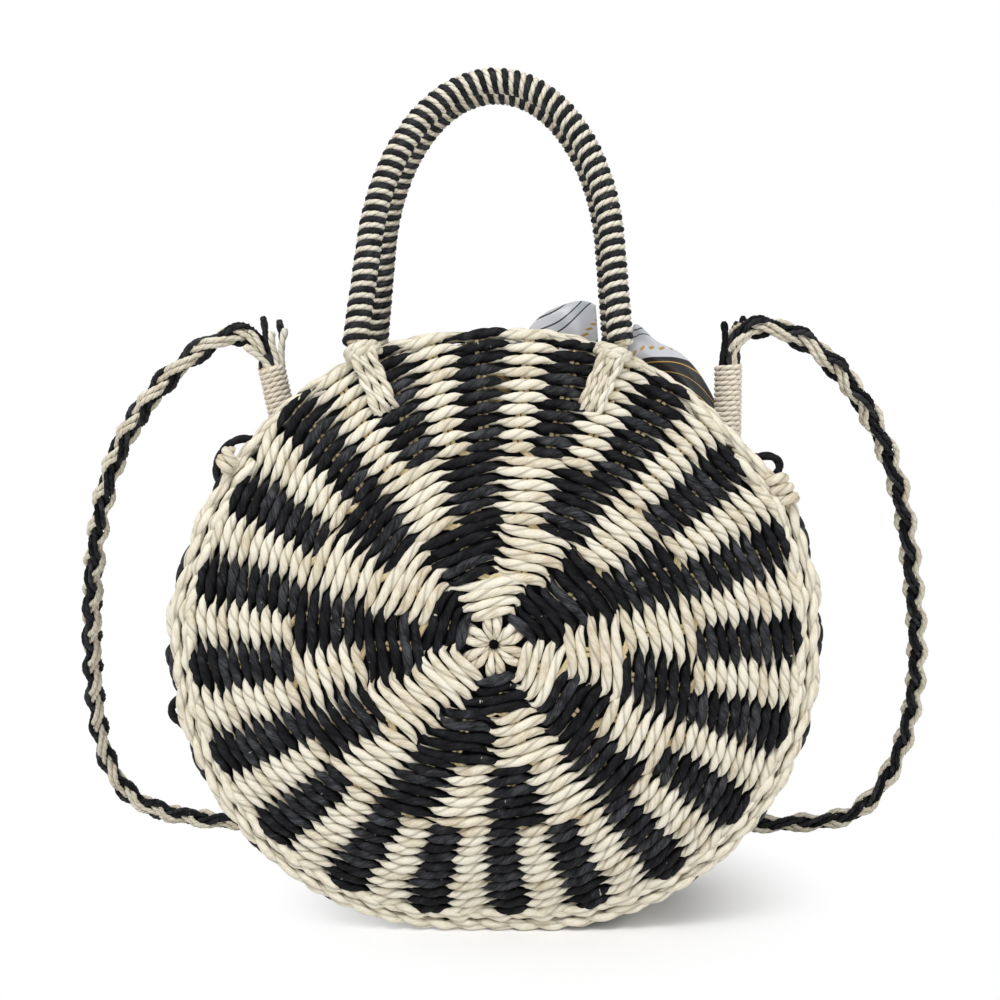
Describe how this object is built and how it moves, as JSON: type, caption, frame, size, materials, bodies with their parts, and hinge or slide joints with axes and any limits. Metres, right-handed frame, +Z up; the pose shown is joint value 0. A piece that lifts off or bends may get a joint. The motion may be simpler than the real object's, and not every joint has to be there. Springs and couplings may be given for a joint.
{
  "type": "round straw handbag",
  "caption": "Round twined straw handbag with swelling two-tone panels, a side gusset, arched wrapped handles, a braided shoulder strap, a cloth lining and a small tied scarf.",
  "frame": {"origin": "middle of the base, on the surface that the bag stands on", "axes": "+X to the right seen from the front, -Y towards the front, +Z up"},
  "size_m": [0.4729, 0.2265, 0.4007],
  "materials": {
    "two_tone_straw": "twined black and cream paper straw",
    "cream_straw": "cream paper straw cord",
    "black_straw": "black paper straw cord",
    "rope_core": "straw rope",
    "twine": "thin cream twine",
    "strap_braid": "four-strand braid of black and cream cord",
    "lining_cotton": "plain black cotton",
    "snap_metal": "satin plated",
    "scarf_satin": "satin, pale ground with a black border and thin gold lines"
  },
  "bodies": {
    "bag": {"back_hub": "cream_straw", "back_left_lashing": "cream_straw", "back_panel": "two_tone_straw", "back_right_lashing": "cream_straw", "back_rim": "cream_straw", "front_hub": "cream_straw", "front_left_lashing": "cream_straw", "front_panel": "two_tone_straw", "front_right_lashing": "cream_straw", "front_rim": "cream_straw", "gusset": "two_tone_straw", "left_tab": "cream_straw", "left_tab_binding": "twine", "left_tab_ends": "black_straw", "lining_back": "lining_cotton", "lining_front": "lining_cotton", "lining_side": "lining_cotton", "right_tab": "cream_straw", "right_tab_binding": "twine", "right_tab_ends": "black_straw", "scarf": "scarf_satin", "shoulder_strap": "strap_braid", "snap_socket": "snap_metal", "snap_stud": "snap_metal"},
    "front_handle": {"front_handle_core": "rope_core", "front_handle_cream_wrap": "cream_straw", "front_handle_black_wrap": "black_straw"},
    "back_handle": {"back_handle_core": "rope_core", "back_handle_cream_wrap": "cream_straw", "back_handle_black_wrap": "black_straw"}
  },
  "joints": [
    {"name": "front_handle_fold", "type": "hinge", "parent": "bag", "child": "front_handle", "pos_m": [0, -0.045, 0.27712], "axis": [1, 0, 0], "range_deg": [-4, 100]},
    {"name": "back_handle_fold", "type": "hinge", "parent": "bag", "child": "back_handle", "pos_m": [0, 0.045, 0.27712], "axis": [-1, 0, 0], "range_deg": [-4, 100]}
  ]
}
